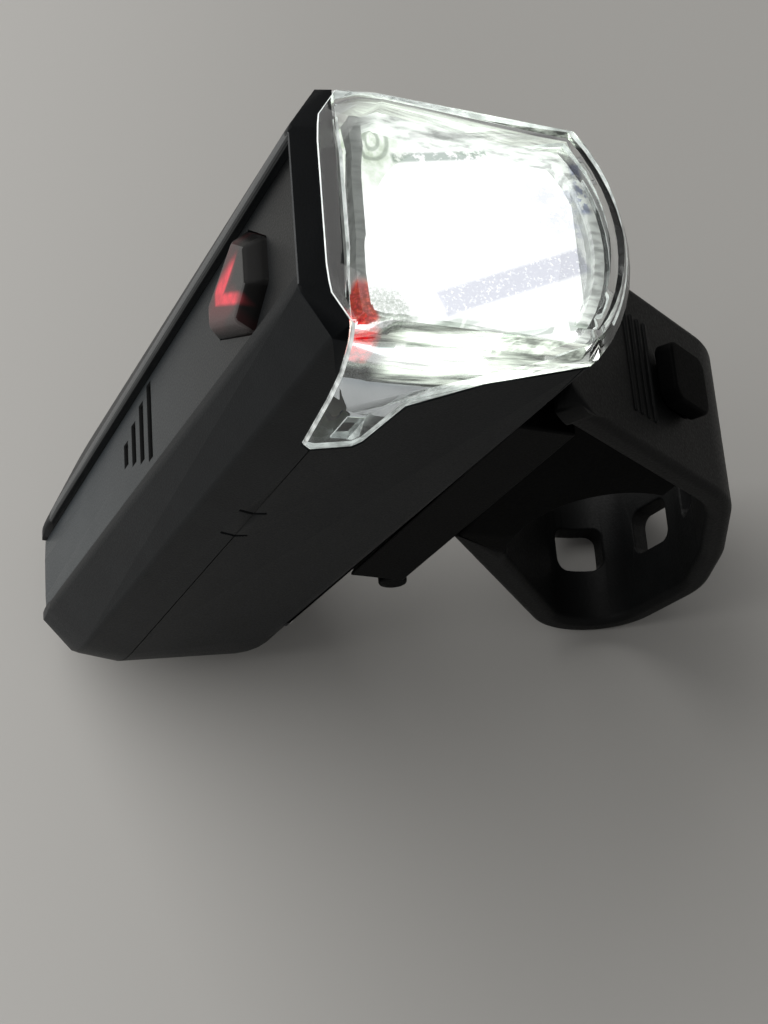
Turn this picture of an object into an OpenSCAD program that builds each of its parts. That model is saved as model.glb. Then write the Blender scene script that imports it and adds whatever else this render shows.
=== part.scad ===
// Bicycle headlight: angular two-shell housing, wrap-round clear lens, push button,
// charging socket with cover, slide bracket and a rubber strap that loops round a handlebar.
// Drawn in lamp axes (X out of the lens, Y to the left, Z up from the top panel) and then
// stood on its tail and strap, the way it rests on a table. Lengths in millimetres.

/* [Housing] */
// Length of the housing from the brow over the lens to the tail
body_l = 91; // [84:1:110]
// Width at the parting seam, front end
seam_front_w = 28.8; // [28:0.2:34]
// Width at the parting seam, tail end
seam_rear_w = 26.8; // [25:0.2:32]
// Width across the shoulder edges, front end
shoulder_front_w = 26.2; // [25:0.2:28]
// Width across the shoulder edges, tail end
shoulder_rear_w = 25.2; // [24:0.2:27]
// Width of the top panel, front end
panel_front_w = 14.2; // [13.8:0.2:15]
// Width of the top panel, tail end
panel_rear_w = 9.6; // [9:0.2:11]
// Width across the lower side edges, front end
chine_front_w = 24.4; // [23:0.2:26]
// Width across the lower side edges, tail end
chine_rear_w = 22.8; // [21:0.2:24]
// Width of the flat top of the side rails
rail_w = 1.3; // [0.8:0.1:1.6]
// Height of the side rails above the panel
rail_h = 1; // [0.6:0.1:1.6]
// Shoulder edges below the panel
shoulder_drop = 2; // [1.6:0.1:3]
// Parting seam below the panel
seam_drop = 7.3; // [6.8:0.1:8.5]
// Lower side edges below the panel, at the lens
side_drop = 27.7; // [26.5:0.1:30]
// Curved underside below the lower side edges
keel_bulge = 4.9; // [4:0.1:6]
// Rise of the underside towards the tail, in degrees
keel_rise = 2.6; // [1:0.1:4]
// Length over which the tail rounds off, seen from above
tail_l = 13; // [10:0.5:16]
// Roundness of the tail seen from above (2 is an ellipse)
tail_n = 2.8; // [2:0.1:3]
// Heel radius of the tail, seen from the side
heel_r = 15; // [12:0.5:18]
// Narrowing of the housing towards the brow, each side
head_in = 0.9; // [0.4:0.1:1.4]
// Length over which it narrows
head_l = 12; // [9:0.5:14]
// Wall of the two shells
wall = 2; // [1.6:0.1:2.2]
// Depth and width of the two small notches across the seam
notch = 0.5; // [0.3:0.1:0.8]

/* [Lens] */
// Thickness of the clear lens
lens_t = 1.8; // [1.5:0.1:2.2]
// Reach of the lens in front of the brow
lens_depth = 2.3; // [2:0.1:3.5]
// Inset of the flat window from the lens rim
lens_bevel = 1.8; // [1.2:0.1:2.4]
// Top corners of the lens below the panel
lens_drop = 3.2; // [2.9:0.1:3.6]
// Rise of the lens top in the middle
lens_arch = 1; // [0.6:0.1:1.6]
// Width of the lens rim at its top corners
lens_top_w = 24.8; // [23:0.2:26]
// Width of the lens rim below its top corners
lens_mid_w = 25.8; // [24:0.2:27]
// Front of the brow ahead of the panel
brow_l = 1.4; // [1:0.1:2]
// Reach of the side fins back along the seam
fin_l = 20; // [17:0.5:24]
// Lower edge of the side fins below the panel
fin_drop = 13.2; // [12:0.1:14.5]
// Gap at the parting seam
seam_gap = 0.12; // [0.1:0.02:0.2]
// Gap between the lens and the shells
lens_gap = 0.15; // [0.1:0.05:0.3]

/* [Button] */
// Front edge of the button behind the brow
button_x = 9.5; // [8:0.5:14]
// Length of the button
button_l = 14.5; // [13:0.5:17]
// Largest width of the button
button_w = 11; // [9.5:0.1:11.2]
// Height of the button above the panel
button_h = 1.8; // [1:0.1:2.2]
// Press of the button
button_travel = 0.6; // [0.3:0.1:0.8]
// Gap round the button
button_gap = 0.25; // [0.15:0.05:0.4]
// Thickness of the top panel
panel_t = 1.6; // [1.4:0.1:1.8]
// Depth of the engraved bars
bar_depth = 0.5; // [0.3:0.1:0.8]

/* [Inside] */
// Thickness of the main board
board_t = 1.6; // [1.2:0.1:1.8]
// Diameter of the battery cell
cell_d = 14.2; // [13:0.1:14.4]
// Gap between the battery cell and the heat sink
cell_gap = 4.1; // [1:0.1:6]
// Mouth radius of the reflector
reflector_r = 9.6; // [8.6:0.1:9.8]
// Depth of the reflector
reflector_l = 11; // [9:0.5:12]

/* [Bar mount] */
// Diameter of the handlebar that the loop holds
bar_d = 22.2; // [20:0.1:25.4]
// Thickness of the rubber strap
strap_t = 3; // [2.4:0.1:3.6]
// Width of the strap and the saddle
strap_w = 20; // [18:0.5:24]
// Inner radius of the slack end of the strap loop
slack_r = 5.5; // [4.5:0.1:6.5]
// Inner radius of the belly of the loop
belly_r = 8.2; // [7.4:0.1:9]
// Inner radius of the front bend of the strap
bend_r = 10; // [9.4:0.1:10.6]
// Swell of the loop between the front bend and the belly
swell = 0.65; // [0.2:0.05:1]
// Handlebar centre behind the brow
bar_x = 44.1; // [41:0.1:46]
// Slack end of the loop behind the handlebar centre
slack_dx = 18.2; // [17:0.1:20]
// Slack end of the loop below the handlebar centre
slack_dz = 9; // [8:0.1:10]
// Belly of the loop behind the handlebar centre
belly_dx = 10.6; // [9.5:0.1:12]
// Belly of the loop below the handlebar centre
belly_dz = 7.7; // [7:0.1:8.4]
// Front bend of the strap ahead of the handlebar centre
bend_dx = 4.9; // [4.4:0.1:5.6]
// Front bend of the strap above the handlebar centre
bend_up = 0.9; // [0.5:0.1:1.4]
// Saddle thickness over the handlebar
seat_t = 6.5; // [6.2:0.1:8]
// Narrowing of the saddle towards the lens, each side, per millimetre of length
saddle_taper = 0.13; // [0.05:0.01:0.16]
// Place of the hook along the front run of the strap
hook_s = 18.2; // [16.5:0.1:19]
// Length of the adjusting holes along the strap
hole_l = 6; // [5:0.1:6.4]
// Width of the adjusting holes
hole_w = 5.6; // [5:0.1:7]
// Height of the bracket plate and its walls
bracket_h = 4.6; // [4.4:0.1:5.5]
// Width of the bracket
bracket_w = 19.6; // [19:0.2:22]
// Length of the bracket
bracket_l = 41; // [39:1:46]
// Running gap between the foot rail and the bracket
slide_gap = 0.2; // [0.1:0.05:0.3]
// Rise of the bracket walls beside the underside
bracket_rise = 3.4; // [2:0.1:4]
// Width of the release tongue
tongue_w = 9; // [7:0.5:10]

/* [Hidden] */
$fn = 48;
eps = 0.01;

// Shape of the housing along its length
keel_slope = tan(keel_rise);
tail_steps = [0.86, 0.72, 0.58, 0.46, 0.35, 0.26, 0.18, 0.12, 0.07, 0.03, 0.005];
stations = concat(
    [0, -head_l * 0.4, -head_l, -40, -(body_l - max(tail_l, heel_r)) - 0.2],
    [for (q = tail_steps) -(body_l - tail_l * q)]);
function mix(a, b, t) = a + (b - a) * t;
function along(x) = -x / body_l;
function nose(x) = head_in * pow(max(0, 1 + x / head_l), 2);
function tail_u(x) = min(1, max(0, (-x - (body_l - tail_l)) / tail_l));
function tail_k(x) = pow(1 - pow(tail_u(x), tail_n), 1 / tail_n);
function heel_s(x) = min(heel_r, max(0, -x - (body_l - heel_r)));
function heel_up(x) = heel_r - sqrt(heel_r * heel_r - heel_s(x) * heel_s(x));
function seam_y(x) = mix(seam_front_w, seam_rear_w, along(x)) / 2 * tail_k(x) - nose(x);
function shoulder_y(x) = mix(shoulder_front_w, shoulder_rear_w, along(x)) / 2 * tail_k(x);
function chine_y(x) = mix(chine_front_w, chine_rear_w, along(x)) / 2 * tail_k(x);
function chine_z(x) = -side_drop - x * keel_slope + heel_up(x);
function bulge(x) = keel_bulge * max(0.3, tail_k(x));
function keel_z(x) = chine_z(x) - bulge(x);
function panel_y(x) = mix(panel_front_w, panel_rear_w, along(x)) / 2;
function rail_y(x) = min(panel_y(x) + rail_w, shoulder_y(x) * 0.85);
function rail_z(x) = max(0.2, rail_h * tail_k(x));
keel_n = 6;
function keel_r(x) = (chine_y(x) * chine_y(x) + bulge(x) * bulge(x)) / (2 * bulge(x));
function keel_y(x, i) = chine_y(x) * (1 - i / keel_n);
function keel_arc(x, y) = keel_z(x) + keel_r(x) - sqrt(keel_r(x) * keel_r(x) - y * y);
function side_pts(x) = [
    [shoulder_y(x), -shoulder_drop],
    [seam_y(x), -seam_drop],
    for (i = [0:keel_n - 1]) [keel_y(x, i), keel_arc(x, keel_y(x, i))]];
function flip(p) = [for (i = [len(p) - 1:-1:0]) [-p[i][0], p[i][1]]];
function closed(p, z) = concat(p, [[0, z]], flip(p));
function full_sec(x) = closed(concat([[rail_y(x), rail_z(x)]], side_pts(x)), keel_z(x));
// Outline of the lens rim: arched top, near upright sides, round bottom
lens_flare = 1.025;
lens_lip = 0.12;
function drop_two(p) = [for (i = [2:len(p) - 1]) p[i]];
function arch(f) = [lens_top_w / 2 * f, -lens_drop + lens_arch * (1 - f * f)];
front_sec = closed(concat(
    [arch(0.3), arch(0.65), arch(1), [lens_mid_w / 2, -seam_drop]],
    [for (q = drop_two(side_pts(0))) [q[0] * lens_flare, q[1] - lens_lip]]), keel_z(0) - lens_lip);

// Heights inside
board_z = -seam_drop - 0.1;
cell_z = board_z - board_t - cell_d / 2 - 2.4;
lamp_z = -(lens_drop + side_drop + keel_bulge) / 2 + 1;
plane_x = brow_l - 2.9;
led_x = plane_x - reflector_l;
led_board_t = 1.6;
sink_t = 2.4;
sink_l = 4;
board_front = led_x - led_board_t - sink_t - 1;
board_rear = -(body_l - tail_l) - 2;
cell_x = -(body_l - tail_l) + 3.4;
cell_l = led_x - led_board_t - sink_t - sink_l - cell_gap - cell_x;

// Button outline, symmetric, widest near the front and pointed to the tail
function shield(g) = [
    [-button_x + g, button_w * 0.22],
    [-button_x - button_l * 0.3, button_w / 2 + g],
    [-button_x - button_l * 0.94 - g, button_w * 0.13],
    [-button_x - button_l * 0.94 - g, -button_w * 0.13],
    [-button_x - button_l * 0.3, -button_w / 2 - g],
    [-button_x + g, -button_w * 0.22]];
button_cx = -button_x - button_l * 0.45;
key_floor = -panel_t - 1.2 - 0.1;

// Engraved level bars behind the button
level_x = -46.7;
level_step = 2.95;
level_w = 0.9;
level_l = 8.5;
level_less = 2.07;
level_y = 0.8;

// Charging socket on the far side, under the board
port_x = -(body_l - 29);
port_w = 9;
port_h = 3.2;
port_z = board_z - board_t - port_h / 2;
cover_w = 14;
cover_h = 6;
cover_z = port_z - 1;
cover_t = 1.5;
cover_gap = 0.3;
function side_y(x, z) = mix(seam_y(x), chine_y(x), (-seam_drop - z) / (-seam_drop - chine_z(x)));
cover_y = side_y(port_x + cover_w / 2, cover_z - cover_h / 2);

// Foot rail and bracket, drawn along the underside
foot_w = 10;
flange_w = 14.4;
flange_t = 1.4;
foot_top = -1;
foot_rear = -55;
foot_front = -20.4;
bracket_front = -18.6;
bracket_rear = bracket_front - bracket_l;
saddle_rear = -bar_x - 2.5;
tongue_root = saddle_rear - 1;
tongue_t = 1.9;
tongue_z = -bracket_h + tongue_t / 2;
tongue_gap = 0.4;
nub_r = 1.7;
nub_out = nub_r + 0.5;

// Saddle and strap loop, in the X Z plane
bar_r = bar_d / 2;
seat_top = -(side_drop + keel_bulge) + bar_x * keel_slope - bracket_h;
bar_c = [-bar_x, seat_top - seat_t - bar_r];
slack_c = [-bar_x - slack_dx, bar_c[1] - slack_dz];
belly_c = [-bar_x - belly_dx, bar_c[1] - belly_dz];
bend_c = [-bar_x + bend_dx, bar_c[1] + bend_up];
swell_at = 0.6;
swell_c = mix(bend_c, belly_c, swell_at);
swell_r = mix(bend_r, belly_r, swell_at) + swell;
seat_gap = 0.05;
function under(x) = -(side_drop + keel_bulge) - x * keel_slope - (bracket_h + seat_gap) / cos(keel_rise);
top_rear = [saddle_rear, under(saddle_rear)];
top_front = [bracket_front + 4, under(bracket_front + 4)];
function ang(v) = atan2(v[1], v[0]);
function pol(c, r, a) = [c[0] + r * cos(a), c[1] + r * sin(a)];
function touch(p, c, r, s) = pol(c, r, ang(p - c) + s * acos(r / norm(p - c)));
function pair_a(c1, r1, c2, r2, s) = ang(c2 - c1) + s * acos((r1 - r2) / norm(c2 - c1));
out_b = bend_r + strap_t;
out_w = swell_r + strap_t;
out_m = belly_r + strap_t;
out_s = slack_r + strap_t;
front_touch = touch(top_front, bend_c, out_b, -1);
run_v = (front_touch - top_front) / norm(front_touch - top_front);
run_n = [-run_v[1], run_v[0]];
run_a = ang(run_v);
run_l = norm(front_touch - top_front);
front_a = pair_a(bend_c, bend_r, belly_c, belly_r, 1);
high_a = pair_a(bend_c, bend_r, swell_c, swell_r, 1);
mid_a = pair_a(swell_c, swell_r, belly_c, belly_r, 1);
low_a = pair_a(belly_c, belly_r, slack_c, slack_r, 1);
rear_a = pair_a(bar_c, bar_r, slack_c, slack_r, -1);
strap_gap = 0.25;
under_n = [keel_slope, 1];
function run_top(w) = top_front - run_n * w + run_v * (w * (under_n * run_n) / (under_n * run_v));
saddle_front_top = run_top(strap_t + strap_gap);
function run_pt(w, s) = top_front - run_n * w + run_v * s;
// Free end of the strap, in front of the bracket and just under the housing
tab_gap = 0.35;
tab_r = 4;
function tab_s(w) = (-(side_drop + keel_bulge) - tab_gap - under_n * run_pt(w, 0)) / (under_n * run_v);
function tab_pt(w) = run_pt(w, tab_s(w));
saddle_end = 2;
saddle_front_low = run_pt(strap_t + strap_gap, run_l - saddle_end);
hole_r = 1.4;
lug_l = hole_l - 1;
lug_w = hole_w - 0.8;
head_w = lug_w + 2.2;
head_z = 0.6;
head_t = 2.2;
head_over = 2.4;
rib_r = 0.3;
rib_n = 4;

// How the lamp stands: heel of the tail and slack end of the strap on one plane
heel_c = [-(body_l - heel_r), keel_z(-(body_l - heel_r)) + heel_r];
stand_d = slack_c - heel_c;
stand_tilt = asin((out_s - heel_r) / norm(stand_d)) - ang(stand_d);
function side_x(p) = p[0] * cos(stand_tilt) - p[1] * sin(stand_tilt);
function up_z(p) = p[0] * sin(stand_tilt) + p[1] * cos(stand_tilt);
floor_z = up_z(slack_c) - out_s;
tail_side = [for (x = stations) side_x([x, rail_z(x)])];
left_x = min(tail_side);
right_x = max(side_x(bend_c) + out_b, side_x(swell_c) + out_w, side_x(belly_c) + out_m);
mid_x = (left_x + right_x) / 2;

module stand() {
    translate([-mid_x, 0, -floor_z])
        rotate([0, -stand_tilt, 0])
            children();
}

// Slice of a section at one place along the lamp
module slice(x) {
    translate([x, 0, 0])
        rotate([90, 0, 90])
            linear_extrude(eps)
                children();
}

// Outer skin of the housing, drawn in by a distance
module skin(d) {
    hull() {
        if (d == 0) {
            slice(brow_l - eps) polygon(front_sec);
        }
        else {
            slice(brow_l + 1) offset(delta = -d) polygon(front_sec);
        }
        for (x = stations) {
            slice(x + (x < -body_l / 2 ? d : 0) - (x == 0 ? d : 0)) offset(delta = -d) polygon(full_sec(x));
        }
    }
}

// Lens seen from the side: front, fin along the seam, slanted lower edge
module lens_side(g) {
    rotate([90, 0, 0])
        linear_extrude(seam_front_w * 2, center = true)
            polygon([
                [brow_l + 30, 20],
                [brow_l + 0.1 - g, 20],
                [brow_l + 0.1 - g, -lens_drop - 0.1 + g],
                [-fin_l * 0.25, -lens_drop - 1.5 + g],
                [-fin_l * 0.5, -seam_drop + 1.9 + g],
                [-fin_l + 0.6 - g, -seam_drop + 0.9 + g],
                [-fin_l - g, -seam_drop - 0.1],
                [-fin_l + 0.9 - g, -fin_drop + 1.8 - g],
                [-fin_l + 2.1 - g, -fin_drop + 1.1 - g],
                [-fin_l * 0.49 - g, -fin_drop - g],
                [-fin_l * 0.23 - g, -fin_drop - 5.8 - g],
                [-0.3 - g, -side_drop - g],
                [0.6 - g, -side_drop - 40],
                [brow_l + 30, -side_drop - 40]]);
}

// Outer form of the lens, drawn in by a distance
module lens_skin(d) {
    hull() {
        slice(brow_l + lens_depth - d) offset(delta = -lens_bevel - d * 0.5) polygon(front_sec);
        slice(brow_l + 0.03) offset(delta = -d) polygon(front_sec);
        for (i = [0:3]) {
            slice(stations[i]) offset(delta = -d) polygon(full_sec(stations[i]));
        }
    }
}

module below_seam(z) {
    translate([-150, -50, z - 100])
        cube([200, 100, 100]);
}

module above_seam(z) {
    translate([-150, -50, z])
        cube([200, 100, 100]);
}

// Along the underside: Z is zero on the keel line
module on_keel() {
    translate([0, 0, -(side_drop + keel_bulge)])
        rotate([0, keel_rise, 0])
            children();
}

module bar_y(w) {
    rotate([90, 0, 0])
        linear_extrude(w, center = true)
            children();
}

// Panel bed between the rails, from the brow to the tail
module panel_plan(g) {
    y0 = panel_front_w / 2 + g;
    y1 = panel_rear_w / 2 + g;
    polygon([[0, y0], [-body_l - 5, y1], [-body_l - 5, -y1], [0, -y0]]);
}

module post_xy(list) {
    for (p = list) {
        translate([p[0], p[1], 0])
            children();
    }
}

// Places of the board posts and of the housing screws
post_x = [board_front - 10.5, -(body_l - 41)];
post_list = [for (x = post_x, s = [-1, 1]) [x, s * 9.4]];
screw_front = [for (s = [-1, 1]) [-8, s * 10.2]];
screw_rear = [for (s = [-1, 1]) [-(body_l - 19), s * 9.2]];
post_top = lamp_z - 4.1;
screw_list = concat(screw_front, screw_rear);
ceiling_z = -panel_t - 2.2;
function screw_seat(p) = keel_arc(p[0], abs(p[1])) + 3;

// Seal between the shells, grown by a gap for its groove
module seal_ring(g) {
    difference() {
        intersection() {
            skin(0.75 - g);
            translate([-150, -50, -seam_drop - 0.6 - g])
                cube([200, 100, 1.1 + 2 * g]);
        }
        skin(1.45 + g);
        lens_side(0.9 - g);
    }
}

module seam_seal() {
    color([0.12, 0.12, 0.12])
    seal_ring(0);
}

module upper_shell() {
    color([0.07, 0.075, 0.078])
    difference() {
        skin(0);
        difference() {
            skin(wall);
            above_seam(ceiling_z);
            // Bosses for the housing screws
            post_xy(screw_list)
                translate([0, 0, -seam_drop + 0.3])
                    cylinder(r = 1.9, h = 10);
        }
        // Pilot holes of the housing screws
        post_xy(screw_list)
            translate([0, 0, -20])
                cylinder(d = 2.24, h = 20 + ceiling_z - 0.4);
        below_seam(-seam_drop);
        // Bed of the top panel
        translate([0, 0, -panel_t])
            linear_extrude(10)
                panel_plan(0);
        lens_side(lens_gap);
        // Way through for the button and its lip
        translate([0, 0, -20])
            linear_extrude(25)
                polygon(shield(1.2));
        seal_ring(0.1);
        // Notches across the seam
        for (x = [-36, -42]) {
            for (s = [-1, 1]) {
                translate([x, s * seam_y(x), -seam_drop])
                    cube([notch, 2 * notch, 3], center = true);
            }
        }
    }
}

module top_panel() {
    color([0.33, 0.34, 0.352])
    intersection() {
        skin(0);
        difference() {
            translate([0, 0, -panel_t + eps])
                linear_extrude(panel_t - eps)
                    translate([-0.15, 0])
                        panel_plan(-0.12);
            translate([0, 0, -10])
                linear_extrude(20)
                    polygon(shield(button_gap));
            // Engraved level bars, shorter towards the tail
            for (i = [0:3]) {
                translate([level_x - level_step * i, level_y, 0])
                    cube([level_w, level_l - level_less * i, 2 * bar_depth], center = true);
            }
        }
    }
}

module button() {
    color([0.42, 0.42, 0.43])
    union() {
        hull() {
            translate([0, 0, -panel_t - 0.6])
                linear_extrude(panel_t + 0.9)
                    offset(r = 0.8)
                        offset(delta = -0.8)
                            polygon(shield(0));
            translate([button_cx * 0.2, 0, button_h - 0.01])
                linear_extrude(0.01)
                    scale([0.8, 0.8])
                        offset(r = 0.8)
                            offset(delta = -0.8)
                                polygon(shield(-0.2));
        }
        // Lip that keeps the button under the panel
        translate([0, 0, -panel_t - 1.1])
            linear_extrude(1)
                polygon(shield(0.9));
        // Stem that meets the switch
        translate([button_cx, 0, board_z + 3.55])
            cylinder(d = 3, h = -panel_t - 1.0 - board_z - 3.55);
    }
}

module switch_body() {
    color([0.15, 0.15, 0.16])
    difference() {
        translate([button_cx - 3, -3, board_z])
            cube([6, 6, 2.6]);
        translate([button_cx, 0, board_z + 1])
            cylinder(d = 2.7, h = 5);
    }
}

module switch_stem() {
    color([0.75, 0.74, 0.7])
    translate([button_cx, 0, board_z + 1 + button_travel + 0.1])
        cylinder(d = 2.6, h = 2.5 - button_travel - 0.1);
}

module lower_shell() {
    color([0.062, 0.065, 0.068])
    difference() {
        union() {
            difference() {
                skin(0);
                skin(wall);
                above_seam(-seam_drop - seam_gap);
                lens_side(lens_gap);
            }
            intersection() {
                skin(wall * 0.6);
                union() {
                    // Posts under the main board
                    post_xy(post_list)
                        translate([0, 0, -40])
                            cylinder(r = 2.1, h = 40 + board_z - board_t);
                    // Posts round the housing screws
                    post_xy(screw_front)
                        translate([0, 0, -40])
                            cylinder(r = 2.1, h = 40 + post_top);
                    post_xy(screw_rear)
                        translate([0, 0, -40])
                            cylinder(r = 2.1, h = 40 + board_z - board_t);
                    // Cradles under the cell
                    for (x = [cell_x + 6, cell_x + cell_l / 2, cell_x + cell_l - 6]) {
                        translate([x - 0.8, -20, -40])
                            cube([1.6, 40, 40 + cell_z - 1]);
                    }
                }
            }
            // Foot rail that slides in the bracket
            on_keel() {
                translate([foot_rear, -foot_w / 2, foot_top - flange_t])
                    cube([foot_front - foot_rear, foot_w, flange_t + 1.7]);
                translate([foot_rear, -flange_w / 2, foot_top - flange_t])
                    cube([foot_front - foot_rear, flange_w, flange_t]);
            }
        }
        // Seat of the cell
        translate([cell_x - 0.2, 0, cell_z])
            rotate([0, 90, 0])
                cylinder(d = cell_d + 0.3, h = cell_l + 0.4);
        // Pilot holes under the board
        post_xy(post_list)
            translate([0, 0, board_z - board_t - 5])
                cylinder(d = 1.6, h = 10);
        // Screw ways from the underside
        for (p = screw_list) {
            translate([p[0], p[1], -40])
                cylinder(d = 2.4, h = 36);
            translate([p[0], p[1], -40])
                cylinder(d = 4.4, h = 40 + screw_seat(p));
        }
        // Bed of the socket cover and window of the socket
        translate([port_x - cover_w / 2 - cover_gap, cover_y - cover_t - 0.05, cover_z - cover_h / 2 - cover_gap])
            cube([cover_w + 2 * cover_gap, 10, cover_h + 2 * cover_gap]);
        translate([port_x - port_w / 2 - 0.4, cover_y - 4, port_z - port_h / 2 - 0.4])
            cube([port_w + 0.8, 10, port_h + 0.6]);
        seal_ring(0.1);
        // Notches across the seam
        for (x = [-36, -42]) {
            for (s = [-1, 1]) {
                translate([x, s * seam_y(x), -seam_drop])
                    cube([notch, 2 * notch, 3], center = true);
            }
        }
        // Catch pocket in the rail
        on_keel()
            translate([foot_rear + 1.2, -2.5, foot_top - flange_t - 1])
                cube([2.8, 5, 1.9]);
    }
}

module usb_socket() {
    color([0.72, 0.73, 0.74])
    difference() {
        translate([port_x - port_w / 2, cover_y - 2.2 - 7, port_z - port_h / 2])
            cube([port_w, 7, port_h]);
        translate([port_x - port_w / 2 + 0.4, cover_y - 2.2 - 6, port_z - port_h / 2 + 0.4])
            cube([port_w - 0.8, 8, port_h - 0.8]);
    }
}

module usb_cover() {
    color([0.045, 0.047, 0.05])
    intersection() {
        skin(0);
        translate([port_x - cover_w / 2, cover_y - cover_t, cover_z - cover_h / 2])
            cube([cover_w, 10, cover_h]);
    }
}

module lens() {
    color([0.86, 0.9, 0.92, 0.4])
    difference() {
        intersection() {
            lens_skin(0);
            lens_side(0);
        }
        lens_skin(lens_t);
        // Clip window on the inner face of each fin
        for (s = [-1, 1]) {
            translate([-fin_l + 4.6, s * (seam_y(-fin_l) - lens_t), -seam_drop - 2.2])
                cube([4.6, 1.4, 1.8], center = true);
        }
    }
}

module lens_gasket() {
    color([0.1, 0.1, 0.1])
    translate([plane_x + 0.02, 0, 0])
        rotate([90, 0, 90])
            linear_extrude(1.6)
                difference() {
                    offset(delta = -lens_t - 0.65)
                        polygon(front_sec);
                    offset(delta = -lens_t - 1.65)
                        polygon(front_sec);
                }
}

function bowl_r(i) = mix(3.2, reflector_r, i / 8);
function bowl_x(i) = reflector_l * (pow(bowl_r(i), 2) - pow(3.2, 2)) / (pow(reflector_r, 2) - pow(3.2, 2));

module reflector() {
    color([0.86, 0.87, 0.88])
    difference() {
        union() {
            translate([plane_x - 1, 0, 0])
                rotate([90, 0, 90])
                    linear_extrude(1)
                        offset(delta = -lens_t - 0.7)
                            polygon(front_sec);
            translate([led_x, 0, lamp_z])
                rotate([0, 90, 0])
                    rotate_extrude()
                        polygon(concat(
                            [[0, 0]],
                            [for (i = [0:8]) [bowl_r(i) + 0.9, bowl_x(i)]],
                            [[0, reflector_l]]));
        }
        translate([led_x, 0, lamp_z])
            rotate([0, 90, 0])
                rotate_extrude()
                    polygon(concat(
                        [[0, -1]],
                        [[bowl_r(0), -1]],
                        [for (i = [0:8]) [bowl_r(i), bowl_x(i)]],
                        [[bowl_r(8), reflector_l + 2], [0, reflector_l + 2]]));
    }
}

module led_emitter() {
    color([0.95, 0.9, 0.6])
    union() {
        translate([led_x, -1.75, lamp_z - 1.75])
            cube([0.8, 3.5, 3.5]);
        translate([led_x + 0.7, 0, lamp_z])
            rotate([0, 90, 0])
                rotate_extrude()
                    intersection() {
                        circle(r = 1.4);
                        square([2, 2]);
                    }
    }
}

module led_board() {
    color([0.9, 0.9, 0.88])
    translate([led_x - led_board_t, -8, lamp_z - 8])
        cube([led_board_t, 16, 16]);
}

module heat_sink() {
    color([0.62, 0.63, 0.65])
    intersection() {
        skin(wall + 0.25);
        translate([led_x - led_board_t - sink_t, 0, 0])
            union() {
                translate([0, -15, lamp_z - 11])
                    cube([sink_t, 30, 19]);
                for (i = [-3:3]) {
                    translate([-sink_l + eps, i * 2.8 - 0.5, lamp_z - 9])
                        cube([sink_l, 1, 14]);
                }
            }
    }
}

module main_board() {
    color([0.04, 0.16, 0.09])
    difference() {
        intersection() {
            skin(wall + 0.35);
            translate([board_rear, -20, board_z - board_t])
                cube([board_front - board_rear, 40, board_t]);
        }
        post_xy(post_list)
            translate([0, 0, board_z - board_t - 5])
                cylinder(d = 2.1, h = 10);
        post_xy(screw_rear)
            translate([0, 0, board_z - board_t - 5])
                cylinder(d = 2.8, h = 10);
    }
}

module board_screws() {
    color([0.7, 0.7, 0.72])
    post_xy(post_list) {
        translate([0, 0, board_z])
            cylinder(d = 3.4, h = 1.1);
        translate([0, 0, board_z - 4.5])
            cylinder(d = 1.5, h = 5);
    }
}

module indicator_leds() {
    color([0.9, 0.25, 0.25])
    union() {
        for (s = [-1, 1]) {
            translate([button_cx - 3.4 - 1.6, s * 1.6 - 0.5, board_z])
                cube([1.6, 1, 0.8]);
        }
        for (i = [0:3]) {
            translate([level_x - level_step * i - 0.8, -0.5, board_z])
                cube([1.6, 1, 0.8]);
        }
    }
}

module battery_cell() {
    color([0.2, 0.34, 0.55])
    translate([cell_x, 0, cell_z])
        rotate([0, 90, 0])
            union() {
                cylinder(d = cell_d, h = cell_l - 1);
                cylinder(d = 5.5, h = cell_l);
            }
}

module housing_screws() {
    color([0.62, 0.62, 0.64])
    for (p = screw_list) {
        translate([p[0], p[1], screw_seat(p)])
            difference() {
                union() {
                    translate([0, 0, -1.6])
                        cylinder(d = 3.9, h = 1.55);
                    translate([0, 0, -0.2])
                        cylinder(d = 2.2, h = ceiling_z - 0.6 - screw_seat(p));
                }
                translate([0, 0, -1.7])
                    cylinder(d = 2, h = 0.9, $fn = 6);
            }
    }
}

module bracket() {
    color([0.05, 0.052, 0.055])
    on_keel()
    difference() {
        translate([bracket_rear, -bracket_w / 2, -bracket_h])
            cube([bracket_l, bracket_w, bracket_h + bracket_rise]);
        // Channel of the rail flange, open to the tail
        translate([bracket_rear - 1, -flange_w / 2 - slide_gap, foot_top - flange_t - slide_gap])
            cube([foot_front - bracket_rear + 1.4, flange_w + 2 * slide_gap, flange_t + 2 * slide_gap]);
        // Neck of the rail
        translate([bracket_rear - 1, -foot_w / 2 - slide_gap, foot_top - 1])
            cube([bracket_l + 2, foot_w + 2 * slide_gap, 10]);
        // Room for the curved underside
        translate([bracket_rear - 1, 0, keel_r(0) - 0.3])
            rotate([0, 90, 0])
                cylinder(r = keel_r(0) + 0.3, h = bracket_l + 2, $fn = 128);
        // Slot round the release tongue
        translate([bracket_rear - 1, -tongue_w / 2 - tongue_gap, -bracket_h - 1])
            cube([tongue_root - bracket_rear + 1, tongue_w + 2 * tongue_gap, bracket_h + 1]);
        // Thread of the saddle screw
        translate([-bar_x + 3, 0, -bracket_h - 1])
            cylinder(d = 2.6, h = 5);
    }
}

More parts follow.
